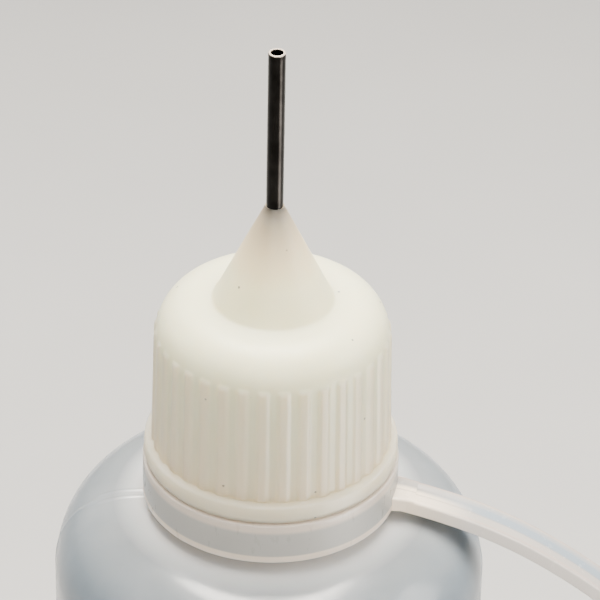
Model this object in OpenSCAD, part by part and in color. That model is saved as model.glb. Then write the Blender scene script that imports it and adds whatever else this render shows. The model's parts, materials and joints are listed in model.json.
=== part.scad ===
// Glue applicator bottle: a squeeze bottle with a screw-on needle cap, and a
// captive ring whose strap carries the cover that keeps the needle from drying.
// Millimetres, +Z up. The origin is the middle of the flat base.

/* [Bottle] */
// Outer diameter of the body
bottle_d = 33; // [31:0.5:36]
// Height of the shoulder's top edge above the table
shoulder_top = 51.2; // [46:0.2:56]
// Height of the curved part of the shoulder
shoulder_h = 7; // [6:0.25:9]
// Diameter at which the shoulder turns level
shoulder_flat_d = 19; // [18.4:0.2:21]
// Wall thickness of the body
wall = 0.8; // [0.6:0.05:1]
// Thickness of the base
base_t = 1; // [0.8:0.1:1.4]
// Outer radius of the edge round the base
base_round = 2.4; // [2:0.2:3]

/* [Neck and thread] */
// Outer diameter of the neck between its threads
neck_d = 13.2; // [13:0.1:13.3]
// Bore of the neck
neck_bore_d = 10.8; // [10:0.2:11.2]
// Diameter over the bottle's thread
thread_d = 14.7; // [14.5:0.05:14.75]
// Rise of the thread in one turn
pitch = 2.12; // [2:0.02:2.2]
// Turns of thread on the neck, and on the cap
thread_turns = 1.5; // [1.25:0.25:1.5]
// Height of the neck's top above the ring's lower edge
neck_top_rise = 13.5; // [13.3:0.1:13.6]

/* [Needle cap] */
// Diameter over the smooth band at the foot of the cap
band_d = 19.18; // [18.9:0.02:19.3]
// Diameter over the ribs at their lower ends
rib_d = 18.3; // [18.2:0.05:18.4]
// Number of grip ribs
rib_count = 36; // [24:1:40]
// Width of one rib
rib_w = 0.8; // [0.5:0.05:0.9]
// Height of one rib above the skirt
rib_h = 0.28; // [0.2:0.02:0.32]
// Radius of the rounded edge of the cap's top
dome_round = 3; // [2.8:0.1:3.2]
// Diameter of the nozzle cone at its foot
cone_d = 8.94; // [8.6:0.02:9.2]
// Height of the nozzle cone
cone_h = 8; // [7.5:0.1:8.4]

/* [Needle] */
// Outer diameter of the needle
needle_d = 1.27; // [1.2:0.01:1.3]
// Inner diameter of the needle
needle_bore_d = 0.92; // [0.8:0.02:0.96]
// Length of the needle outside the cone
needle_out = 12.7; // [10:0.1:13]
// Length of the needle held inside the cone
needle_in = 6; // [5.6:0.1:6]

/* [Tether ring] */
// Height of the ring's lower edge above the table
ring_z = 52; // [52:0.1:52.4]
// Outer diameter of the ring
ring_d = 19.34; // [19.2:0.02:19.5]
// Height of the ring
ring_h = 3.3; // [3.2:0.05:3.35]
// Wall thickness of the ring
ring_wall = 0.8; // [0.7:0.05:0.85]
// Thickness of the lip that rides under the bead on the neck
lip_t = 0.6; // [0.5:0.05:0.7]

/* [Strap] */
// Width of the strap
strap_w = 2.8; // [2.4:0.1:3.2]
// Thickness of the strap
strap_t = 1.2; // [1.1:0.05:1.3]
// Length of one bending section of the strap
section_len = 6.6; // [6:0.1:6.8]
// Angle at which the strap dips where it leaves the ring
strap_dip = 5.5; // [4:0.5:7]
// Further angle to which it dips halfway along
strap_droop = 38; // [34:0.5:40]

/* [Needle cover] */
// Length of the cover
cover_len = 21.2; // [20.8:0.1:21.6]
// Inner diameter of the cover's mouth
cover_mouth_d = 7.8; // [7.6:0.05:8]
// Inner diameter at the closed end
cover_tip_d = 3.8; // [3.4:0.1:4]
// Wall thickness of the cover
cover_wall = 0.8; // [0.7:0.05:0.9]
// Diameter of the rim at the mouth
cover_rim_d = 10.8; // [10.6:0.1:11]

/* [Hidden] */
$fn = 96;
eps = 0.02;

// Bottle
body_r = bottle_d / 2;
shoulder_power = 2.28;
shoulder_steps = 20;
corner_steps = 8;
base_fillet_end = -60;
base_dish = 1;

// Neck
neck_r = neck_d / 2;
neck_bore_r = neck_bore_d / 2;
neck_top = ring_z + neck_top_rise;
collar_r = 7.62;
collar_bore_r = 6.6;
bead_r = 7.95;
bead_gap = 0.2;
bead_z = ring_z + lip_t + bead_gap;
bead_t = 0.65;
neck_step = 1.5;
neck_edge = 0.3;
collar_rise = 0.1;
collar_bore_drop = 0.6;

// Thread, one ridge on the neck and one in the cap, half a pitch apart
ridge_foot_w = 1.1;
ridge_top_w = 0.5;
ridge_bite = 0.15;
ridge_runout = 0.3;
ridge_steps = 24;
neck_ridge_z = ring_z + 7.6;
cap_ridge_z = neck_ridge_z - pitch / 2;
cap_ridge_r = 6.8;

// Washer
washer_t = 1;
washer_r = 7.3;
washer_hole_r = 3;
seat_gap = 0.02;

// Cap
cap_foot = ring_z + 3.45;
cap_bore_r = 7.5;
band_bevel = [0.19, 0.45];
band_taper = 0.05;
band_round = 0.25;
band_top = cap_foot + 1.75;
rib_taper = 1.15;
dome_r = 8.65;
dome_top = ring_z + 17.2;
dome_side = dome_top - dome_round;
cap_ceiling = neck_top + washer_t + 2 * seat_gap;
cone_tip = dome_top + cone_h;
cone_tip_r = 0.72;
pocket_r = 5;
pocket_h = 1.4;
pocket_slope = [0.4, 0.3];
funnel_r = 3.6;
funnel_tip_r = 0.72;
skirt_foot_r = rib_d / 2 - rib_h;

// Needle. Its held part is slightly thicker and runs out below the tip, so the free length is a wall of its own
needle_r = needle_d / 2;
needle_grip = 0.02;
needle_seat_r = needle_r + needle_grip;
needle_runout = 0.6;
needle_foot = cone_tip - needle_in;

// Ring
ring_r = ring_d / 2;
ring_edge = 0.15;
lip_bore_r = 7.7;
root_block = [1.5, 3.4, 1.5];
root_bite = 0.6;

// Strap, a chain of sections hinged at knuckles that stand for one bending strip
section_count = 8;
stub_len = 1.6;
strap_wave = 58;
knuckle_r = 0.56;
socket_r = 0.7;
knuckle_step = 0.1;
knuckle_fn = 32;
socket_past = 1;
strap_bite = 0.4;

// Cover
cover_stub = 2.2;
cover_mouth_r = cover_mouth_d / 2;
cover_tip_r = cover_tip_d / 2;
cover_rim_r = cover_rim_d / 2;
cover_end_t = 1.1;
cover_round = 1;
cover_rim_edge = 0.2;
cover_end_edge = 0.4;

// Slope of the strap, in degrees below level, at a distance along it
function strap_slope(along) = -(strap_dip + strap_droop * sin(180 * along / strap_wave));

// Slope of section number i, and of the cover after the last section
function section_slope(i) = strap_slope(stub_len + section_len * (i - 0.5));
cover_slope = strap_slope(stub_len + section_len * section_count + cover_stub / 2);

// Hinge between section i - 1 and section i, as [x, z]
function hinge_at(i) =
    i == 1
        ? [ring_r, ring_z + strap_t / 2] + stub_len * heading(strap_slope(stub_len / 2))
        : hinge_at(i - 1) + section_len * heading(section_slope(i - 1));
function heading(slope) = [cos(slope), sin(slope)];

// Quarter of a superellipse from [x1, y0] to [x0, y1], for a moulded shoulder
function shoulder_curve(x0, x1, y0, y1) = [
    for (i = [0 : shoulder_steps])
        let (a = 90 * i / shoulder_steps)
        [
            x0 + (x1 - x0) * pow(cos(a), 2 / shoulder_power),
            y0 + (y1 - y0) * pow(sin(a), 2 / shoulder_power)
        ]
];

// Arc of radius r round centre c, from angle a0 to angle a1
function arc(c, r, a0, a1) = [
    for (i = [0 : corner_steps])
        let (a = a0 + (a1 - a0) * i / corner_steps)
        c + r * [cos(a), sin(a)]
];

// Helical ridge. Its foot is at foot_r and its crest at crest_r, and both ends run out
module ridge(foot_r, crest_r, z0) {
    n = round(ridge_steps * thread_turns);
    inward = crest_r < foot_r;
    function depth(i) = i == 0 || i == n ? ridge_runout : 1;
    function ring(i) =
        let (
            a = 360 * i / ridge_steps,
            z = z0 + pitch * i / ridge_steps,
            r = foot_r + (crest_r - foot_r) * depth(i),
            foot = ridge_foot_w / 2,
            top = ridge_top_w / 2
        )
        [for (p = [[foot_r, -foot], [r, -top], [r, top], [foot_r, foot]])
            [p[0] * cos(a), p[0] * sin(a), z + p[1]]];
    sides = [
        for (i = [0 : n - 1], k = [0 : 3])
            let (a = 4 * i + k, b = 4 * i + (k + 1) % 4)
            each [[a, b, b + 4], [a, b + 4, a + 4]]
    ];
    ends = [[3, 2, 1, 0], [4 * n, 4 * n + 1, 4 * n + 2, 4 * n + 3]];
    faces = concat(sides, ends);
    flipped = [for (f = faces) [for (j = [len(f) - 1 : -1 : 0]) f[j]]];
    points = [for (i = [0 : n]) each ring(i)];
    polyhedron(points, inward ? flipped : faces, convexity = 6);
}

module bottle() {
    outer = concat(
        [[0, 0]],
        arc([body_r - base_round, base_round], base_round, -90, 0),
        shoulder_curve(shoulder_flat_d / 2, body_r, shoulder_top - shoulder_h, shoulder_top),
        [
            [collar_r, shoulder_top + collar_rise],
            [collar_r, bead_z],
            [bead_r, bead_z],
            [bead_r, bead_z + bead_t],
            [neck_r, bead_z + neck_step],
            [neck_r, neck_top - neck_edge],
            [neck_r - neck_edge, neck_top]
        ]
    );
    inner = concat(
        [
            [neck_bore_r, neck_top],
            [neck_bore_r, bead_z + neck_step],
            [collar_bore_r, bead_z],
            [collar_bore_r, shoulder_top - collar_bore_drop]
        ],
        [for (i = [shoulder_steps : -1 : 0])
            shoulder_curve(
                shoulder_flat_d / 2 - wall / 2, body_r - wall,
                shoulder_top - shoulder_h, shoulder_top - wall
            )[i]],
        arc([body_r - base_round, base_round], base_round - wall, 0, base_fillet_end),
        [[body_r - base_round - base_dish, base_t], [0, base_t]]
    );
    color("lightsteelblue") {
        rotate_extrude()
            polygon(concat(outer, inner));
        ridge(neck_r - ridge_bite, thread_d / 2, neck_ridge_z);
    }
}

module seal_washer() {
    color("whitesmoke")
        translate([0, 0, neck_top + seat_gap])
            difference() {
                cylinder(h = washer_t, r = washer_r);
                translate([0, 0, -eps])
                    cylinder(h = washer_t + 2 * eps, r = washer_hole_r);
            }
}

// One grip rib, leaning in with the skirt
module rib() {
    translate([skirt_foot_r, 0, band_top - eps])
        rotate([0, -rib_taper, 0])
            translate([-rib_h, -rib_w / 2, 0])
                cube([2 * rib_h, rib_w, dome_side - band_top]);
}

module needle_cap() {
    shell = concat(
        [
            [cap_bore_r, cap_foot],
            [band_d / 2 - band_bevel[0], cap_foot],
            [band_d / 2, cap_foot + band_bevel[1]],
            [band_d / 2 - band_taper, band_top - band_round],
            [band_d / 2 - band_taper - band_round, band_top],
            [skirt_foot_r, band_top]
        ],
        arc([dome_r - dome_round, dome_side], dome_round, 0, 90),
        [
            [cone_d / 2, dome_top],
            [cone_tip_r, cone_tip],
            [needle_r, cone_tip],
            [needle_seat_r, cone_tip - needle_runout],
            [needle_seat_r, needle_foot],
            [funnel_tip_r, needle_foot],
            [funnel_r, cap_ceiling + pocket_h],
            [pocket_r - pocket_slope[0], cap_ceiling + pocket_h - pocket_slope[1]],
            [pocket_r, cap_ceiling],
            [cap_bore_r, cap_ceiling]
        ]
    );
    color("white") {
        rotate_extrude()
            polygon(shell);
        for (i = [0 : rib_count - 1])
            rotate([0, 0, 360 * i / rib_count])
                rib();
        ridge(cap_bore_r + ridge_bite, cap_ridge_r, cap_ridge_z);
    }
}

module needle() {
    color("silver")
        rotate_extrude()
            polygon([
                [needle_bore_d / 2, needle_foot],
                [needle_seat_r, needle_foot],
                [needle_seat_r, cone_tip - needle_runout],
                [needle_r, cone_tip],
                [needle_r, cone_tip + needle_out],
                [needle_bore_d / 2, cone_tip + needle_out]
            ]);
}

// Strap from its knuckle at the origin to length len along +X
module strap_bar(len) {
    translate([knuckle_step, -strap_w / 2, -strap_t / 2])
        cube([len - knuckle_step, strap_w, strap_t]);
}

module knuckle() {
    rotate([90, 0, 0])
        cylinder(h = strap_w, r = knuckle_r, center = true, $fn = knuckle_fn);
    translate([0, -strap_w / 2, -knuckle_r / 2])
        cube([2 * knuckle_step, strap_w, knuckle_r]);
}

module socket() {
    rotate([90, 0, 0])
        cylinder(h = strap_w + 2 * socket_past, r = socket_r, center = true, $fn = knuckle_fn);
}

// Places its children at hinge i, with +X turned down to a slope
module at_hinge(i, slope) {
    p = hinge_at(i);
    translate([p[0], 0, p[1]])
        rotate([0, -slope, 0])
            children();
}

module tether_ring() {
    slope = strap_slope(stub_len / 2);
    profile = [
        [lip_bore_r, ring_z],
        [ring_r - ring_edge, ring_z],
        [ring_r, ring_z + ring_edge],
        [ring_r, ring_z + ring_h - ring_edge],
        [ring_r - ring_edge, ring_z + ring_h],
        [ring_r - ring_wall, ring_z + ring_h],
        [ring_r - ring_wall, ring_z + lip_t],
        [lip_bore_r, ring_z + lip_t]
    ];
    color("gainsboro") {
        rotate_extrude()
            polygon(profile);
        translate([ring_r - root_bite, -root_block[1] / 2, ring_z])
            cube(root_block);
        difference() {
            translate([ring_r, 0, ring_z + strap_t / 2])
                rotate([0, -slope, 0])
                    strap_bar(stub_len);
            at_hinge(1, slope)
                socket();
        }
    }
}

// Section i of the strap, with a knuckle at its start and a socket at its end
module strap_section(i) {
    color("gainsboro")
        at_hinge(i, section_slope(i)) {
            difference() {
                strap_bar(section_len);
                translate([section_len, 0, 0])
                    socket();
            }
            knuckle();
        }
}

module strap_1() {
    strap_section(1);
}

module strap_2() {
    strap_section(2);
}

module strap_3() {
    strap_section(3);
}

module strap_4() {
    strap_section(4);
}

module strap_5() {
    strap_section(5);
}

module strap_6() {
    strap_section(6);
}

module strap_7() {
    strap_section(7);
}

module strap_8() {
    strap_section(8);
}

module needle_cover() {
    foot = -cover_len;
    tip_r = cover_tip_r + cover_wall;
    profile = concat(
        [
            [cover_mouth_r, 0],
            [cover_rim_r - cover_rim_edge, 0],
            [cover_rim_r, -cover_rim_edge],
            [cover_rim_r, -strap_t],
            [cover_mouth_r + cover_wall, -strap_t]
        ],
        arc([tip_r - cover_round, foot + cover_round], cover_round, 0, -90),
        [
            [0, foot],
            [0, foot + cover_end_t],
            [cover_tip_r - cover_end_edge, foot + cover_end_t],
            [cover_tip_r, foot + cover_end_t + cover_end_edge]
        ]
    );
    color("white")
        at_hinge(section_count + 1, cover_slope) {
            translate([cover_stub + cover_rim_r, 0, strap_t / 2])
                rotate_extrude()
                    polygon(profile);
            strap_bar(cover_stub + strap_bite);
            knuckle();
        }
}

bottle();
seal_washer();
needle_cap();
needle();
tether_ring();
strap_1();
strap_2();
strap_3();
strap_4();
strap_5();
strap_6();
strap_7();
strap_8();
needle_cover();
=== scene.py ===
"""Glue applicator bottle: a polythene squeeze bottle with a ribbed needle cap, and a
tether ring whose strap carries the needle's cover. Metres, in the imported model's frame."""
import json
import math

import bpy
from mathutils import Matrix, Vector


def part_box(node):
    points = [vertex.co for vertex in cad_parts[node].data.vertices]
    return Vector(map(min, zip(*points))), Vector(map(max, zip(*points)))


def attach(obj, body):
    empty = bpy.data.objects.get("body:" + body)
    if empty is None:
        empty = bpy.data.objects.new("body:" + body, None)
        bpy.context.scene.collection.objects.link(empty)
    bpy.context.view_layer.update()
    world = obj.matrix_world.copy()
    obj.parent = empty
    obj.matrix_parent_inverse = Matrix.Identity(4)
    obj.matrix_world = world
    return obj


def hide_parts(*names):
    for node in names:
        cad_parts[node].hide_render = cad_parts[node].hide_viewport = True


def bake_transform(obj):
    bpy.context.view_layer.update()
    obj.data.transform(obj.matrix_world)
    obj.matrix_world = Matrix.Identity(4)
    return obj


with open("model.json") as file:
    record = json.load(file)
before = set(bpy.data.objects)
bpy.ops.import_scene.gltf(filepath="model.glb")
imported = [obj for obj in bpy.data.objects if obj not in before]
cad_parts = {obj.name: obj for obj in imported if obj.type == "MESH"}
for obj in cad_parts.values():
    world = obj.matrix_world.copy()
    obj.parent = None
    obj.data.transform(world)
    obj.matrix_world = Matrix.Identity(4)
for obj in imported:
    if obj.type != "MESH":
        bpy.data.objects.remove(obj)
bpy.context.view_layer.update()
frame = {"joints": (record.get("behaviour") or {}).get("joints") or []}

MM = 0.001

# ---------------------------------------------------------------- places, from the frame
_, bottle_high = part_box("bottle")
washer_low, washer_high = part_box("seal_washer")
cap_low, cap_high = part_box("needle_cap")
needle_low, needle_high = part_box("needle")
ring_low, ring_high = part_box("tether_ring")
hinges = [
    Vector(joint["pos_m"])
    for joint in frame["joints"]
    if joint["name"].startswith("strap_bend")
]

BODY_R = bottle_high.x
NECK_TOP = bottle_high.z
CAP_FOOT = cap_low.z
CONE_TIP = cap_high.z
BAND_R = cap_high.x
RING_R = -ring_low.x
RING_TOP = ring_high.z

# ---------------------------------------------------------------- sizes, in metres
TINY = 1e-9              # shorter than any real length

WALL = 0.8 * MM
FLOOR_T = 1.0 * MM
NECK_BORE_R = 5.4 * MM
NECK_R = 6.6 * MM
COLLAR_R = 7.62 * MM
BEAD_R = 7.95 * MM
BEAD_H = 0.65 * MM
THREAD_R = 7.35 * MM
PITCH = 2.12 * MM
THREAD_TURNS = 1.5
RING_H = 3.3 * MM
LIP_R = 7.7 * MM
LIP_T = 0.6 * MM
RING_RISE = 0.1 * MM     # the drawn ring's top above the frame's
RING_Z = RING_TOP - RING_H
THREAD_Z = RING_Z + 7.6 * MM
SHOULDER_TOP = RING_Z - 0.8 * MM
SHOULDER_H = 7.0 * MM
SHOULDER_FLAT_R = 9.5 * MM
SHOULDER_POWER = 2.28
BASE_ROUND = 2.4 * MM
SEAM_TURN = 9.0          # degrees from +X to the parting line
SEAM_H = 0.06 * MM
LAND_FROM_R, LAND_TO_R = 12.8 * MM, 13.6 * MM   # where the seam's flat land gives way to a line
LAND_EDGE = 0.42 * MM    # from the seam to the land's raised edges
WASHER_HOLE_R = 3.0 * MM

CAP_BORE_R = 7.5 * MM
CAP_THREAD_R = 6.8 * MM
BAND_EDGE = CAP_FOOT + 0.45 * MM
BAND_TOP = CAP_FOOT + 1.5 * MM
RIB_COUNT = 36
RIB_H = 0.17 * MM
RIB_SHARE = 0.5          # part of the rib pitch that one rib fills
RIB_FLANK = 0.13         # half of a flank's width, in the same measure
RIB_FOOT_R = 8.87 * MM   # skirt between the ribs, at its foot
DOME_R = 8.65 * MM
DOME_ROUND = 3.0 * MM
CONE_H = 8.0 * MM
CONE_R = 4.47 * MM
CONE_TIP_R = 0.72 * MM
DOME_TOP = CONE_TIP - CONE_H
DOME_SIDE = DOME_TOP - DOME_ROUND
DOME_STEPS = 48
RIB_END = DOME_SIDE + 0.6 * MM
RIB_ROUND = 0.5 * MM
SKIRT_LEAN = (RIB_FOOT_R - DOME_R) / (DOME_SIDE - BAND_TOP)
CEILING = washer_high.z + 0.02 * MM

NEEDLE_R = 0.635 * MM
NEEDLE_BORE_R = 0.46 * MM

STRAP_W = 2.8 * MM
STRAP_T = 1.2 * MM
STRAP_CORNER = 0.22 * MM
TAIL_LEN = 2.2 * MM      # from the last hinge to the cover's rim
STRIP_END = 2.6 * MM     # from the last hinge to the drawn strip's end, inside the rim
GROOVE_Y = 0.3 * MM      # middle of the shallow groove along its top
GROOVE_W = 1.3 * MM
GROOVE_DEPTH = 0.12 * MM
ROOT_DIP = math.radians(11)
ROOT_STEPS = 18
ROOT_STEP = 0.11 * MM
ROOT_START = -0.55 * MM  # from the ring's outside

COVER_LEN = 21.2 * MM
COVER_MOUTH_R = 3.9 * MM
COVER_TIP_R = 1.9 * MM
COVER_WALL = 0.8 * MM
COVER_RIM_R = 5.4 * MM
COVER_END_T = 1.1 * MM
COVER_TILT = math.radians(-10.63)   # slope of the strap's tail, which the cover's mouth follows

# ---------------------------------------------------------------- camera
VIEW_TURN = 9.0          # degrees that the view is turned from +Y
VIEW_YAW = 0.5           # degrees that the camera looks back against that turn
VIEW_ELEVATION = 33.56
VIEW_ROLL = 1.19
VIEW_DISTANCE = 271.3 * MM
VIEW_SENSOR = 36.0
VIEW_LENS = 221.3
VIEW_AIM = Vector((1.97 * MM, 0, RING_Z + 17.0 * MM))


def make_camera():
    turn = Matrix.Rotation(math.radians(VIEW_TURN), 3, "Z")
    yaw = math.radians(VIEW_YAW)
    pitch = math.radians(VIEW_ELEVATION)
    ahead = turn @ Vector((
        math.sin(yaw) * math.cos(pitch),
        math.cos(yaw) * math.cos(pitch),
        -math.sin(pitch),
    ))
    level = turn @ Vector((math.cos(yaw), -math.sin(yaw), 0))
    above = level.cross(ahead)
    roll = math.radians(VIEW_ROLL)
    right = level * math.cos(roll) + above * math.sin(roll)
    up = above * math.cos(roll) - level * math.sin(roll)
    data = bpy.data.cameras.new("camera")
    data.lens = VIEW_LENS
    data.sensor_width = VIEW_SENSOR
    data.clip_start = 0.01
    camera = bpy.data.objects.new("camera", data)
    place = turn @ VIEW_AIM - ahead * VIEW_DISTANCE
    axes = Matrix((right, up, -ahead)).transposed().to_4x4()
    camera.matrix_world = Matrix.Translation(place) @ axes
    bpy.context.collection.objects.link(camera)
    bpy.context.scene.camera = camera


# ---------------------------------------------------------------- mesh helpers
def add_mesh(name, points, faces, material, smooth=True):
    mesh = bpy.data.meshes.new(name)
    mesh.from_pydata(points, [], faces)
    mesh.validate()
    mesh.update()
    mesh.materials.append(material)
    if smooth:
        mesh.shade_smooth()
    piece = bpy.data.objects.new(name, mesh)
    bpy.context.collection.objects.link(piece)
    return piece


def rounded(corners, steps=6):
    """Outline through corners (r, z, radius), each cut by an arc of that radius."""
    outline = []
    count = len(corners)
    for i, (r, z, radius) in enumerate(corners):
        here = Vector((r, z))
        if radius <= 0:
            outline.append((r, z))
            continue
        to_last = (Vector(corners[i - 1][:2]) - here).normalized()
        to_next = (Vector(corners[(i + 1) % count][:2]) - here).normalized()
        half = to_last.angle(to_next) / 2
        reach = radius / math.tan(half)
        start = here + to_last * reach
        middle = here + (to_last + to_next).normalized() * radius / math.sin(half)
        first = start - middle
        turn = math.pi - 2 * half
        if to_last.x * to_next.y - to_last.y * to_next.x > 0:
            turn = -turn
        for k in range(steps + 1):
            a = turn * k / steps
            outline.append((
                middle.x + first.x * math.cos(a) - first.y * math.sin(a),
                middle.y + first.x * math.sin(a) + first.y * math.cos(a),
            ))
    return outline


def finer(outline, longest):
    """The same closed outline with no edge longer than the longest allowed."""
    result = []
    for i, a in enumerate(outline):
        b = outline[(i + 1) % len(outline)]
        n = max(1, math.ceil(math.dist(a, b) / longest))
        if a[0] < TINY and b[0] < TINY:
            n = 1
        result += [
            (a[0] + (b[0] - a[0]) * k / n, a[1] + (b[1] - a[1]) * k / n)
            for k in range(n)
        ]
    return result


def lathe(name, outline, material, turns, shape=None):
    """Turns a closed outline (r, z), listed anticlockwise, about Z.
    shape(r, z, angle) may move a point."""
    points, rows, faces = [], [], []
    for r, z in outline:
        if r < TINY:
            rows.append([len(points)] * turns)
            points.append((0, 0, z))
            continue
        rows.append(list(range(len(points), len(points) + turns)))
        for j in range(turns):
            a = 2 * math.pi * j / turns
            pr, pz = shape(r, z, a) if shape else (r, z)
            points.append((pr * math.cos(a), pr * math.sin(a), pz))
    for i, row in enumerate(rows):
        after = rows[(i + 1) % len(rows)]
        for j in range(turns):
            k = (j + 1) % turns
            corners = [row[j], row[k], after[k], after[j]]
            corners = [c for n, c in enumerate(corners) if c != corners[n - 1]]
            if len(corners) > 2:
                faces.append(corners)
    return add_mesh(name, points, faces, material)


def join(first, other):
    """Joins the other mesh into the first."""
    n = len(first.data.vertices)
    points = [v.co.copy() for v in first.data.vertices]
    points += [v.co.copy() for v in other.data.vertices]
    faces = [list(p.vertices) for p in first.data.polygons]
    faces += [[v + n for v in p.vertices] for p in other.data.polygons]
    material = first.data.materials[0]
    mesh = bpy.data.meshes.new(first.name)
    mesh.from_pydata(points, [], faces)
    mesh.update()
    mesh.materials.append(material)
    mesh.shade_smooth()
    first.data = mesh
    bpy.data.objects.remove(other)


def smoothstep(low, high, x):
    t = min(1, max(0, (x - low) / (high - low)))
    return t * t * (3 - 2 * t)


def thread(name, foot_r, crest_r, z0, material, steps=96):
    """One rounded helical ridge whose ends run out into the wall."""
    count = round(steps * THREAD_TURNS)
    foot, crest, fade = 0.52 * MM, 0.2 * MM, 0.12
    lower = [(0, -foot), (0.45, -foot * 0.78), (0.86, -crest), (1, -crest * 0.55)]
    section = lower + [(share, -dz) for share, dz in reversed(lower)]
    points, faces = [], []
    for i in range(count + 1):
        a = 2 * math.pi * i / steps
        height = smoothstep(0, fade, i / count) * smoothstep(0, fade, 1 - i / count)
        for share, dz in section:
            r = foot_r + (crest_r - foot_r) * share * height
            z = z0 + PITCH * i / steps + dz * (0.4 + 0.6 * height)
            points.append((r * math.cos(a), r * math.sin(a), z))
    size = len(section)
    for i in range(count):
        for k in range(size):
            a, b = size * i + k, size * i + (k + 1) % size
            faces.append([a, b, b + size, a + size])
    faces.append(list(range(size))[::-1])
    faces.append([size * count + k for k in range(size)])
    if crest_r < foot_r:
        faces = [f[::-1] for f in faces]
    return add_mesh(name, points, faces, material)


# ---------------------------------------------------------------- node helpers
class Nodes:
    """Small builder round a material's node tree."""

    def __init__(self, name):
        self.material = bpy.data.materials.new(name)
        self.material.use_nodes = True
        self.tree = self.material.node_tree
        self.shader = self.tree.nodes["Principled BSDF"]
        coordinates = self.tree.nodes.new("ShaderNodeTexCoord")
        self.place = coordinates.outputs["Object"]

    def use_strip(self):
        """Takes places from the strip's own coordinates, which stay with it as it bends."""
        node = self.tree.nodes.new("ShaderNodeAttribute")
        node.attribute_name = "strip"
        self.place = node.outputs["Vector"]

    def link(self, out, into):
        self.tree.links.new(out, into)

    def mapped(self, scale):
        node = self.tree.nodes.new("ShaderNodeMapping")
        node.inputs["Scale"].default_value = scale
        self.link(self.place, node.inputs["Vector"])
        return node.outputs["Vector"]

    def noise(self, scale, detail=3.0, rough=0.5, stretch=(1, 1, 1)):
        node = self.tree.nodes.new("ShaderNodeTexNoise")
        node.inputs["Scale"].default_value = scale
        node.inputs["Detail"].default_value = detail
        node.inputs["Roughness"].default_value = rough
        self.link(self.mapped(stretch), node.inputs["Vector"])
        return node.outputs["Fac"]

    def ramp(self, value, low, high, a, b):
        node = self.tree.nodes.new("ShaderNodeMapRange")
        limits = {"From Min": low, "From Max": high, "To Min": a, "To Max": b}
        for name, number in limits.items():
            node.inputs[name].default_value = number
        self.link(value, node.inputs["Value"])
        return node.outputs["Result"]

    def math(self, kind, a, b=None):
        node = self.tree.nodes.new("ShaderNodeMath")
        node.operation = kind
        for socket, value in zip(node.inputs, (a, b)):
            if value is None:
                continue
            if isinstance(value, (int, float)):
                socket.default_value = value
            else:
                self.link(value, socket)
        return node.outputs["Value"]

    def mix(self, factor, a, b):
        node = self.tree.nodes.new("ShaderNodeMix")
        node.data_type = "RGBA"
        sockets = [s for s in node.inputs if s.enabled]
        for socket, value in zip(sockets, (factor, a, b)):
            if isinstance(value, tuple):
                socket.default_value = (*value, 1)
            elif isinstance(value, (int, float)):
                socket.default_value = value
            else:
                self.link(value, socket)
        return [s for s in node.outputs if s.enabled][0]

    def axis(self, name):
        node = self.tree.nodes.new("ShaderNodeSeparateXYZ")
        self.link(self.place, node.inputs["Vector"])
        return node.outputs[name]

    def radius(self):
        node = self.tree.nodes.new("ShaderNodeVectorMath")
        node.operation = "LENGTH"
        self.link(self.mapped((1, 1, 0)), node.inputs[0])
        return node.outputs["Value"]

    def bump(self, height, depth, strength):
        node = self.tree.nodes.new("ShaderNodeBump")
        node.inputs["Strength"].default_value = strength
        node.inputs["Distance"].default_value = depth
        self.link(height, node.inputs["Height"])
        return node.outputs["Normal"]

    def specks(self, scale, size, share):
        """1 in small round spots, 0 elsewhere. About that share of the cells has no spot."""
        node = self.tree.nodes.new("ShaderNodeTexVoronoi")
        node.inputs["Scale"].default_value = scale
        self.link(self.place, node.inputs["Vector"])
        spot = self.ramp(node.outputs["Distance"], size, size * 0.5, 0, 1)
        parts = self.tree.nodes.new("ShaderNodeSeparateColor")
        self.link(node.outputs["Color"], parts.inputs["Color"])
        chosen = self.math("GREATER_THAN", parts.outputs["Red"], share)
        return self.math("MULTIPLY", spot, chosen)

    def set(self, **values):
        for name, value in values.items():
            self.shader.inputs[name.replace("_", " ")].default_value = value


def polythene(name, light, dark, rough, glow, radius, strip=False):
    """Waxy low-density polythene: light scattered inside it as far as glow and radius say,
    with faint mottling, flow lines and fine scuffs."""
    n = Nodes(name)
    if strip:
        n.use_strip()
    mottle = n.noise(160, detail=4)
    streak = n.noise(700, detail=2, stretch=(1, 1, 0.05))
    cloud = n.ramp(n.math("ADD", mottle, n.math("MULTIPLY", streak, 0.3)), 0.45, 0.9, 0, 1)
    colour = n.mix(cloud, dark, light)
    scuff = n.noise(1500, detail=4, rough=0.6, stretch=(1, 1, 0.35))
    n.link(n.ramp(scuff, 0.35, 0.7, rough - 0.03, rough + 0.05), n.shader.inputs["Roughness"])
    waves = n.bump(n.noise(260, detail=1), depth=0.02 * MM, strength=0.2)
    n.link(waves, n.shader.inputs["Normal"])
    n.set(
        Subsurface_Weight=glow,
        Subsurface_Radius=radius,
        Subsurface_Scale=1.0 * MM,
        IOR=1.51,
    )
    return n, colour


def finish_colour(n, colour):
    n.link(colour, n.shader.inputs["Base Color"])
    return n.material


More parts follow.
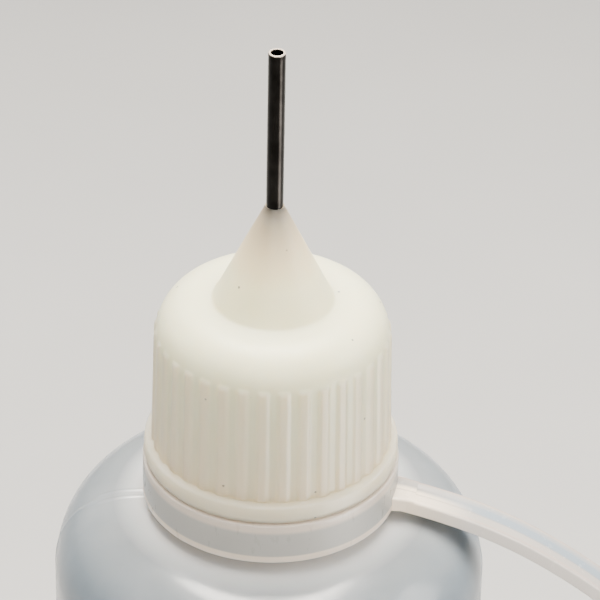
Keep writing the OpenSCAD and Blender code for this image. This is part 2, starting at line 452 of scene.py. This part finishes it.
def bottle_material():
    """Blue-grey wall, greyer on top of the shoulder, with painted light whitening it round the
    collar against the ring's shadow, and paler down the body."""
    n, colour = polythene(
        "bottle_polythene", light=(0.19, 0.237, 0.283), dark=(0.165, 0.212, 0.258),
        rough=0.19, glow=0.6, radius=(2.4, 2.7, 3.2),
    )
    thick = n.ramp(n.axis("Z"), SHOULDER_TOP - 4 * MM, SHOULDER_TOP - 0.3 * MM, 0, 0.9)
    colour = n.mix(thick, colour, (0.25, 0.27, 0.285))
    below = n.ramp(n.axis("Z"), SHOULDER_TOP - SHOULDER_H, SHOULDER_TOP - 3.5 * SHOULDER_H, 0, 1)
    colour = n.mix(below, colour, (0.285, 0.33, 0.37))
    # Painted light: the wall is whitened round the collar, lifting the shade that the ring casts
    # on the shoulder.
    near = n.ramp(n.radius(), BEAD_R + 1.6 * MM, BEAD_R + 4 * MM, 1, 0)
    top = n.ramp(n.axis("Z"), SHOULDER_TOP - 1.2 * MM, SHOULDER_TOP - 0.4 * MM, 0, 0.85)
    near = n.math("MULTIPLY", near, top)
    colour = n.mix(near, colour, (0.7, 0.725, 0.75))
    wisp = n.noise(170, stretch=(1, 1, 0.6))
    colour = n.mix(n.ramp(wisp, 0.45, 0.75, 0, 0.16), colour, (0.5, 0.53, 0.56))
    return finish_colour(n, colour)


def cap_material():
    """Warm white polythene, with painted shade making the skirt browner below the lit dome and
    the rib crests darker, browner at the nozzle's tip, darker where the cone is thin over the
    steel, with a few dark specks."""
    n, colour = polythene(
        "cap_polythene", light=(0.99, 0.85, 0.565), dark=(0.98, 0.835, 0.535),
        rough=0.43, glow=1.0, radius=(5, 4.4, 3.6),
    )
    height = n.axis("Z")
    # Painted shade: the skirt is browner below the lit dome.
    skirt = n.ramp(height, DOME_SIDE - 0.8 * MM, CAP_FOOT + 1 * MM, 0, 0.85)
    colour = n.mix(skirt, colour, (0.86, 0.67, 0.47))
    # Painted shade: the rib crests are darkened to tone down their lit faces.
    foot = n.math("MULTIPLY", height, -SKIRT_LEAN)
    foot = n.math("ADD", foot, DOME_R + SKIRT_LEAN * DOME_SIDE)
    crest = n.ramp(n.math("SUBTRACT", n.radius(), foot), 0, RIB_H, 0, 0.5)
    above_band = n.ramp(height, BAND_TOP + 0.1 * MM, BAND_TOP + 0.4 * MM, 0, 1)
    crest = n.math("MULTIPLY", crest, above_band)
    colour = n.mix(crest, colour, (0.72, 0.55, 0.38))
    steel = n.ramp(height, CONE_TIP - 5.5 * MM, CONE_TIP - 0.5 * MM, 0, 1)
    steel = n.math("MULTIPLY", n.math("POWER", steel, 1.1), 0.97)
    colour = n.mix(steel, colour, (0.31, 0.26, 0.2))
    glue = n.ramp(height, CONE_TIP - 0.6 * MM, CONE_TIP - 0.1 * MM, 0, 0.6)
    colour = n.mix(glue, colour, (0.42, 0.29, 0.17))
    dirt = n.math("MULTIPLY", n.specks(scale=600, size=0.075, share=0.55), 0.8)
    colour = n.mix(dirt, colour, (0.13, 0.1, 0.07))
    return finish_colour(n, colour)


def strap_material():
    """Milky strip: a painted bluish streak along its grooved middle for the surroundings
    reflected in it and the bottle seen through it, painted light whitening its sides, painted
    warm lines of refracted light along its top corners, a painted warm glow on the front of its
    root, and a thin warm line near the root."""
    n, colour = polythene(
        "strap_polythene", light=(0.46, 0.432, 0.403), dark=(0.43, 0.405, 0.378),
        rough=0.24, glow=0.0, radius=(1, 1, 1), strip=True,
    )
    along, across, height = n.axis("X"), n.axis("Y"), n.axis("Z")
    # Painted reflection: a bluish streak along the grooved middle stands for the surroundings
    # reflected in it and the bottle seen through it.
    off_groove = n.math("ABSOLUTE", n.math("SUBTRACT", across, GROOVE_Y))
    middle = n.ramp(off_groove, GROOVE_W * 0.25, GROOVE_W * 0.6, 0.9, 0)
    middle = n.math("MULTIPLY", middle, n.ramp(along, 2 * MM, 7 * MM, 0.1, 1))
    colour = n.mix(middle, colour, (0.27, 0.335, 0.4))
    edge = n.math("ABSOLUTE", across)
    # Painted light: the strip's sides are whitened as if lit.
    painted_side_light = n.ramp(edge, STRAP_W / 2 - 0.12 * MM, STRAP_W / 2 - 0.03 * MM, 0, 0.9)
    colour = n.mix(painted_side_light, colour, (0.85, 0.8, 0.755))
    # Painted light: warm lines along the top corners stand for light refracted through the
    # strip's edges.
    off_corner = n.math("ABSOLUTE", n.math("SUBTRACT", edge, STRAP_W / 2 - 0.2 * MM))
    corner = n.ramp(off_corner, 0.05 * MM, 0.16 * MM, 0.6, 0)
    corner = n.math("MULTIPLY", corner, n.math("GREATER_THAN", height, 0))
    colour = n.mix(corner, colour, (0.5, 0.4, 0.35))
    # Painted light: a warm glow on the front of the strip near its root.
    front = n.ramp(across, 0.5 * MM, 0.1 * MM, 0, 1)
    root = n.math("MULTIPLY", n.ramp(along, 6 * MM, 1.5 * MM, 0, 0.95), front)
    colour = n.mix(root, colour, (1.0, 0.87, 0.7))
    # A thin warm line along the strip's top, just in front of its middle, fading out past the
    # root.
    streak = n.math("ABSOLUTE", n.math("ADD", across, 0.2 * MM))
    streak = n.ramp(streak, 0.03 * MM, 0.11 * MM, 0.5, 0)
    streak = n.math("MULTIPLY", streak, n.ramp(along, 5 * MM, 7 * MM, 1, 0))
    colour = n.mix(streak, colour, (0.5, 0.4, 0.32))
    return finish_colour(n, colour)


def ring_material():
    """Greyer polythene: the lip and the top edge are painted pale and warm, the lip for light
    refracted along the bottom rim and the top edge for light lifting the shade in the gap under
    the cap; the wall between them grey."""
    n, colour = polythene(
        "ring_polythene", light=(0.46, 0.46, 0.44), dark=(0.43, 0.43, 0.41),
        rough=0.3, glow=0.8, radius=(1.8, 1.7, 1.6),
    )
    height = n.axis("Z")
    # Painted light: the lip is pale and warm for light refracted along the bottom rim, and the
    # top edge for light lifting the shade in the gap under the cap.
    lip = n.ramp(height, RING_Z + LIP_T + 0.06 * MM, RING_Z + LIP_T - 0.06 * MM, 0, 0.85)
    edge = n.ramp(height, RING_TOP - 0.75 * MM, RING_TOP - 0.45 * MM, 0, 0.5)
    colour = n.mix(n.math("MAXIMUM", lip, edge), colour, (0.93, 0.76, 0.62))
    return finish_colour(n, colour)


def cover_material():
    n, colour = polythene(
        "cover_polythene", light=(0.96, 0.93, 0.88), dark=(0.93, 0.9, 0.85),
        rough=0.36, glow=0.8, radius=(2.2, 1.9, 1.6),
    )
    return finish_colour(n, colour)


def washer_material():
    n, colour = polythene(
        "washer_polythene", light=(0.95, 0.95, 0.94), dark=(0.88, 0.88, 0.87),
        rough=0.5, glow=0.4, radius=(1, 1, 1),
    )
    return finish_colour(n, colour)


def needle_material():
    """Drawn stainless tube: glossy steel painted nearly black, standing in for the dark
    surroundings it reflects, with fine lengthwise lines and a little tarnish, and a ground rim
    that is brighter and rougher."""
    n = Nodes("needle_steel")
    lines = n.noise(5000, rough=0.6, stretch=(1, 1, 0.02))
    tarnish = n.noise(900)
    tarnish = n.ramp(tarnish, 0.35, 0.7, 0, 1)
    # Painted reflection: the steel is nearly black, standing in for dark surroundings reflected
    # in it.
    colour = n.mix(tarnish, (0.006, 0.0055, 0.005), (0.014, 0.013, 0.012))
    ground = n.ramp(n.axis("Z"), needle_high.z - 0.09 * MM, needle_high.z - 0.02 * MM, 0, 1)
    colour = n.mix(ground, colour, (0.5, 0.44, 0.38))
    rough = n.math("ADD", n.ramp(lines, 0.3, 0.7, 0.2, 0.3), n.math("MULTIPLY", ground, 0.4))
    n.link(rough, n.shader.inputs["Roughness"])
    grain = n.bump(lines, depth=0.004 * MM, strength=0.3)
    n.link(grain, n.shader.inputs["Normal"])
    n.set(Metallic=1.0)
    return finish_colour(n, colour)


# ---------------------------------------------------------------- pieces
def superellipse(x0, x1, y0, y1, steps=40):
    """Quarter curve from (x1, y0) up to (x0, y1)."""
    curve = []
    for i in range(steps + 1):
        a = math.pi / 2 * i / steps
        curve.append((
            x0 + (x1 - x0) * math.cos(a) ** (2 / SHOULDER_POWER),
            y0 + (y1 - y0) * math.sin(a) ** (2 / SHOULDER_POWER),
        ))
    return curve


def make_bottle():
    bead_z = RING_Z + LIP_T + 0.2 * MM
    neck_z = bead_z + 1.5 * MM
    shoulder_foot = SHOULDER_TOP - SHOULDER_H
    base = rounded([
        (0, 0, 0),
        (BODY_R - 0.02 * MM, 0, BASE_ROUND),
        (BODY_R, shoulder_foot, 0),
    ], steps=12)[:-1]
    neck = rounded([
        (SHOULDER_FLAT_R, SHOULDER_TOP, 0),
        (COLLAR_R, SHOULDER_TOP + 0.1 * MM, 0.35 * MM),
        (COLLAR_R, bead_z, 0.06 * MM),
        (BEAD_R, bead_z, 0.12 * MM),
        (BEAD_R, bead_z + BEAD_H, 0.25 * MM),
        (NECK_R, neck_z, 0.4 * MM),
        (NECK_R, NECK_TOP, 0.3 * MM),
        (NECK_BORE_R, NECK_TOP, 0.3 * MM),
        (NECK_BORE_R, neck_z, 0.5 * MM),
        (NECK_R, bead_z, 0.5 * MM),
        (NECK_R, SHOULDER_TOP - WALL + 0.2 * MM, 0),
    ])[1:]
    outside = superellipse(SHOULDER_FLAT_R, BODY_R, shoulder_foot, SHOULDER_TOP)
    inside = superellipse(
        SHOULDER_FLAT_R - WALL / 2, BODY_R - WALL, shoulder_foot, SHOULDER_TOP - WALL
    )[::-1]
    floor = rounded([
        (BODY_R - WALL, shoulder_foot, 0),
        (BODY_R - WALL, FLOOR_T, BASE_ROUND - WALL),
        (0, FLOOR_T, 0),
    ], steps=12)[1:]
    outline = base + outside + neck + inside + floor

    def is_outside(r, z):
        if z < shoulder_foot:
            return r > BODY_R - WALL / 2 and z > BASE_ROUND
        share = min(1, (z - shoulder_foot) / SHOULDER_H) ** SHOULDER_POWER
        reach = (1 - share) ** (1 / SHOULDER_POWER)
        shell_r = SHOULDER_FLAT_R + (BODY_R - SHOULDER_FLAT_R) * reach
        return r >= SHOULDER_FLAT_R and r > shell_r - WALL / 4 and z <= SHOULDER_TOP + TINY

    def seam(r, z, a):
        """Parting line down both sides, which becomes a flat land with raised edges near
        the neck."""
        if not is_outside(r, z):
            return r, z
        off = math.radians(abs((math.degrees(a) - SEAM_TURN + 90) % 180 - 90)) * r
        land = 1 - smoothstep(LAND_FROM_R, LAND_TO_R, r)
        line = 1 - smoothstep(0.08 * MM, 0.3 * MM, off)
        edges = 1 - smoothstep(0.04 * MM, 0.22 * MM, abs(off - LAND_EDGE))
        height = SEAM_H * (line * (1 - land) + edges * land)
        up = smoothstep(shoulder_foot, SHOULDER_TOP, z)
        return r - (SEAM_H - height) * (1 - up), z - (SEAM_H - height) * up

    material = bottle_material()
    outline = finer(outline, longest=1.2 * MM)
    shell = lathe("bottle_shell", outline, material, turns=720, shape=seam)
    ridge = thread("bottle_thread", NECK_R - 0.1 * MM, THREAD_R, THREAD_Z, material)
    join(shell, ridge)
    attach(shell, "bottle")
    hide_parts("bottle")


def make_washer():
    outline = rounded([
        (WASHER_HOLE_R, washer_low.z, 0.1 * MM),
        (washer_high.x, washer_low.z, 0.15 * MM),
        (washer_high.x, washer_high.z, 0.15 * MM),
        (WASHER_HOLE_R, washer_high.z, 0.1 * MM),
    ])
    washer = lathe("seal_washer_disc", outline, washer_material(), turns=128)
    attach(washer, "washer")
    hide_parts("seal_washer")


def rib_wave(angle):
    """0 between two ribs and 1 on a rib, with steep flanks."""
    t = (angle * RIB_COUNT / (2 * math.pi)) % 1
    off = abs(t - 0.5)
    return 1 - smoothstep(RIB_SHARE / 2 - RIB_FLANK, RIB_SHARE / 2 + RIB_FLANK, off)


def make_cap():
    skirt = rounded([
        (CAP_BORE_R, CAP_FOOT, 0.15 * MM),
        (BAND_R - 0.19 * MM, CAP_FOOT, 0.08 * MM),
        (BAND_R, BAND_EDGE, 0.05 * MM),
        (BAND_R - 0.06 * MM, BAND_TOP, 0.22 * MM),
        (RIB_FOOT_R, BAND_TOP + 0.12 * MM, 0.12 * MM),
        (DOME_R, DOME_SIDE, 0),
    ])[:-1]
    dome = []
    for i in range(DOME_STEPS + 1):
        a = math.pi / 2 * i / DOME_STEPS
        dome.append((
            DOME_R - DOME_ROUND + DOME_ROUND * math.cos(a),
            DOME_SIDE + DOME_ROUND * math.sin(a),
        ))
    nozzle = rounded([
        (DOME_R - DOME_ROUND, DOME_TOP, 0),
        (CONE_R, DOME_TOP + 0.02 * MM, 0.25 * MM),
        (CONE_TIP_R + 0.02 * MM, CONE_TIP - 0.1 * MM, 0),
        (CONE_TIP_R, CONE_TIP, 0.03 * MM),
        (NEEDLE_R, CONE_TIP, 0),
        (NEEDLE_R, needle_low.z, 0),
        (NEEDLE_R + 0.08 * MM, needle_low.z, 0.02 * MM),
        (3.6 * MM, CEILING + 1.4 * MM, 0.3 * MM),
        (4.6 * MM, CEILING + 1.1 * MM, 0.3 * MM),
        (5.0 * MM, CEILING, 0.1 * MM),
        (CAP_BORE_R, CEILING, 0.3 * MM),
    ])[1:]

    def ribs(r, z, a):
        """Raises the skirt to the ribs, which run up past the dome's edge to round
        shoulders."""
        if z < BAND_TOP or z > RIB_END or r < CAP_BORE_R + 0.6 * MM:
            return r, z
        rise = smoothstep(BAND_TOP, BAND_TOP + 0.2 * MM, z)
        left = min(1, (RIB_END - z) / RIB_ROUND)
        crest = DOME_R + SKIRT_LEAN * (DOME_SIDE - z) + RIB_H
        shoulder = RIB_ROUND * (1 - math.sqrt(1 - (1 - left) ** 2))
        return r + max(0, crest - shoulder - r) * rise * rib_wave(a), z

    outline = finer(skirt + dome + nozzle, longest=0.45 * MM)
    material = cap_material()
    cap = lathe("cap_shell", outline, material, turns=RIB_COUNT * 20, shape=ribs)
    ridge = thread(
        "cap_thread", CAP_BORE_R + 0.1 * MM, CAP_THREAD_R, THREAD_Z - PITCH / 2, material
    )
    join(cap, ridge)
    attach(cap, "cap")
    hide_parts("needle_cap")


def make_needle():
    outline = rounded([
        (NEEDLE_BORE_R, needle_low.z, 0.03 * MM),
        (NEEDLE_R, needle_low.z, 0.03 * MM),
        (NEEDLE_R, needle_high.z, 0.05 * MM),
        (NEEDLE_BORE_R, needle_high.z, 0.03 * MM),
    ])
    outline = finer(outline, longest=0.8 * MM)
    tube = lathe("needle_tube", outline, needle_material(), turns=64)
    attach(tube, "cap")
    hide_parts("needle")


def make_ring():
    inner_r = RING_R - WALL
    top = RING_TOP + RING_RISE
    outline = rounded([
        (LIP_R, RING_Z, 0.1 * MM),
        (RING_R, RING_Z, 0.16 * MM),
        (RING_R, top, 0.12 * MM),
        (inner_r, top, 0.12 * MM),
        (inner_r, RING_Z + LIP_T, 0.15 * MM),
        (LIP_R, RING_Z + LIP_T, 0.1 * MM),
    ])
    outline = finer(outline, longest=0.6 * MM)
    ring = lathe("ring_band", outline, ring_material(), turns=256)
    block = root_block(strap_material())
    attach(ring, "ring")
    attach(block, "ring")
    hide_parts("tether_ring")


def section_ring(width, thick, corner, groove=0, steps=5):
    """Points (y, z) round a flat strip's section, with a shallow groove along its top."""
    points = []
    for sy, sz, start in ((1, -1, -90), (1, 1, 0), (-1, 1, 90), (-1, -1, 180)):
        for k in range(steps + 1):
            a = math.radians(start + 90 * k / steps)
            points.append((
                sy * (width / 2 - corner) + corner * math.cos(a),
                sz * (thick / 2 - corner) + corner * math.sin(a),
            ))
        if (sy, sz) == (1, 1):
            for k in range(1, 20):
                y = (width / 2 - corner) * (1 - k / 10)
                dip = 1 - smoothstep(GROOVE_W * 0.25, GROOVE_W * 0.6, abs(y - GROOVE_Y))
                points.append((y, thick / 2 - groove * dip))
    return points


def sweep(name, line, section, material, along):
    """Strip along a line of (place, direction) in the XZ plane, as one closed mesh with
    crisp ends. Its "strip" attribute holds (along, across, height) for the material."""
    points, faces, strip_places = [], [], []
    last = line[0][0]
    for place, ahead in line:
        up = Vector((-ahead.z, 0, ahead.x))
        along += (place - last).length
        last = place
        for y, z in section(place) if callable(section) else section:
            points.append(place + Vector((0, y, 0)) + up * z)
            strip_places += [along, y, z]
    size = len(points) // len(line)
    for i in range(len(line) - 1):
        for k in range(size):
            a, b = size * i + k, size * i + (k + 1) % size
            faces.append([a, b, b + size, a + size])
    faces.append(list(range(size))[::-1])
    faces.append([size * (len(line) - 1) + k for k in range(size)])
    strip = add_mesh(name, points, faces, material)
    mesh = strip.data
    rim = {key for end in mesh.polygons[-2:] for key in end.edge_keys}
    for edge in mesh.edges:
        edge.use_edge_sharp = edge.key in rim
    mesh.attributes.new("strip", "FLOAT_VECTOR", "POINT").data.foreach_set("vector", strip_places)
    return strip


def root_block(material):
    """Flare by which the strap grows out of the ring's wall."""
    place = Vector((RING_R + ROOT_START, 0, RING_Z + STRAP_T / 2))
    line = []
    for k in range(ROOT_STEPS + 1):
        dip = ROOT_DIP * k / ROOT_STEPS
        ahead = Vector((math.cos(dip), 0, -math.sin(dip)))
        line.append((place, ahead))
        place = place + ahead * ROOT_STEP

    def section(place):
        end = smoothstep(RING_R - 0.1 * MM, RING_R + 1.2 * MM, place.x)
        width = STRAP_W + 0.34 * MM - 0.38 * MM * end
        thick = STRAP_T + 0.06 * MM - 0.1 * MM * end
        return section_ring(width, thick, STRAP_CORNER)

    return sweep("ring_root_block", line, section, material, ROOT_START)


def bend_line(a, b, c, steps=18):
    """Smooth line from a to c, drawn towards the hinge b."""
    line = []
    for i in range(steps + 1):
        t = i / steps
        place = a * (1 - t) ** 2 + b * 2 * t * (1 - t) + c * t ** 2
        ahead = ((b - a) * (1 - t) + (c - b) * t).normalized()
        line.append((place, ahead))
    return line


def make_strap():
    """One flexible strip, made of a piece for each hinge, which bends across that hinge."""
    material = strap_material()
    root = Vector((RING_R - 0.3 * MM, 0, RING_Z + STRAP_T / 2))
    last = hinges[-1] + (mouth_centre() - hinges[-1]).normalized() * STRIP_END
    last.z = hinges[-1].z + (last.x - hinges[-1].x) * math.tan(COVER_TILT)
    middles = [(a + b) / 2 for a, b in zip(hinges, hinges[1:])]
    ends = [root] + middles + [last]
    bodies = ["ring"] + [f"strap_{i}" for i in range(1, len(hinges))] + ["cover"]
    section = section_ring(STRAP_W, STRAP_T, STRAP_CORNER, GROOVE_DEPTH)
    along = root.x - RING_R
    for i, hinge in enumerate(hinges):
        line = bend_line(ends[i], hinge, ends[i + 1])
        piece = sweep(f"strap_bend_{i + 1}", line, section, material, along)
        along += sum((a - b).length for (a, _), (b, _) in zip(line, line[1:]))
        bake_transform(piece)
        if i < len(hinges) - 1:
            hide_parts(bodies[i + 1])


def mouth_centre():
    """Middle of the cover's mouth, at the end of the strap's tail."""
    along = Vector((math.cos(COVER_TILT), 0, math.sin(COVER_TILT)))
    up = Vector((-math.sin(COVER_TILT), 0, math.cos(COVER_TILT)))
    return hinges[-1] + along * (TAIL_LEN + COVER_RIM_R) + up * STRAP_T / 2


def make_cover():
    tip_r = COVER_TIP_R + COVER_WALL
    outline = rounded([
        (0, -COVER_LEN, 0),
        (tip_r, -COVER_LEN, 1.0 * MM),
        (COVER_MOUTH_R + COVER_WALL, -STRAP_T, 0.25 * MM),
        (COVER_RIM_R, -STRAP_T, 0.2 * MM),
        (COVER_RIM_R, 0, 0.25 * MM),
        (COVER_MOUTH_R, 0, 0.25 * MM),
        (COVER_TIP_R, -COVER_LEN + COVER_END_T, 0.4 * MM),
        (0, -COVER_LEN + COVER_END_T, 0),
    ])
    outline = finer(outline, longest=0.8 * MM)
    sleeve = lathe("cover_sleeve", outline, cover_material(), turns=160)
    tilt = Matrix.Rotation(-COVER_TILT, 4, "Y")
    sleeve.matrix_world = Matrix.Translation(mouth_centre()) @ tilt
    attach(sleeve, "cover")
    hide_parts("needle_cover")


# ---------------------------------------------------------------- floor and light
def make_floor():
    n = Nodes("floor")
    patches = n.ramp(n.noise(25), 0.3, 0.7, 0, 1)
    colour = n.mix(patches, (0.5, 0.5, 0.495), (0.53, 0.53, 0.525))
    n.set(Roughness=0.8, Specular_IOR_Level=0.0)
    half = 3.0
    corners = [(-half, -half, 0), (half, -half, 0), (half, half, 0), (-half, half, 0)]
    material = finish_colour(n, colour)
    floor = add_mesh("floor", corners, [[0, 1, 2, 3]], material, smooth=False)


def softbox(name, place, aim, size, power, colour):
    data = bpy.data.lights.new(name, "AREA")
    data.shape = "RECTANGLE"
    data.size, data.size_y = size
    data.energy = power
    data.color = colour
    lamp = bpy.data.objects.new(name, data)
    lamp.location = place
    ahead = Vector(aim) - Vector(place)
    lamp.rotation_euler = ahead.to_track_quat("-Z", "Y").to_euler()
    lamp.visible_camera = False
    bpy.context.collection.objects.link(lamp)
    return lamp


def make_light():
    aim = (0, 0, RING_TOP)
    softbox(
        "top", (-0.01, 0.04, 0.26), aim,
        size=(0.13, 0.1), power=2.0, colour=(1, 0.93, 0.83),
    )
    softbox(
        "right", (0.22, 0.0, 0.15), aim,
        size=(0.14, 0.14), power=0.5, colour=(1, 0.95, 0.88),
    )
    softbox(
        "front", (0.05, -0.34, 0.2), aim,
        size=(0.3, 0.3), power=1.2, colour=(1, 0.93, 0.84),
    )
    softbox(
        "floor_wash", (0, 0.1, 0.9), (0, 0.1, 0),
        size=(0.8, 0.8), power=5.0, colour=(1, 1, 1),
    )
    low = softbox(
        "low_card", (0.1045, -0.035, 0.0145), (0, 0, needle_low.z),
        size=(0.06, 0.03), power=0.2, colour=(1, 0.94, 0.88),
    )
    low.visible_diffuse = False
    world = bpy.data.worlds.new("studio")
    world.use_nodes = True
    background = world.node_tree.nodes["Background"]
    background.inputs["Color"].default_value = (1, 0.95, 0.88, 1)
    background.inputs["Strength"].default_value = 0.11
    bpy.context.scene.world = world


make_camera()
make_bottle()
make_washer()
make_cap()
make_needle()
make_ring()
make_strap()
make_cover()
make_floor()
make_light()
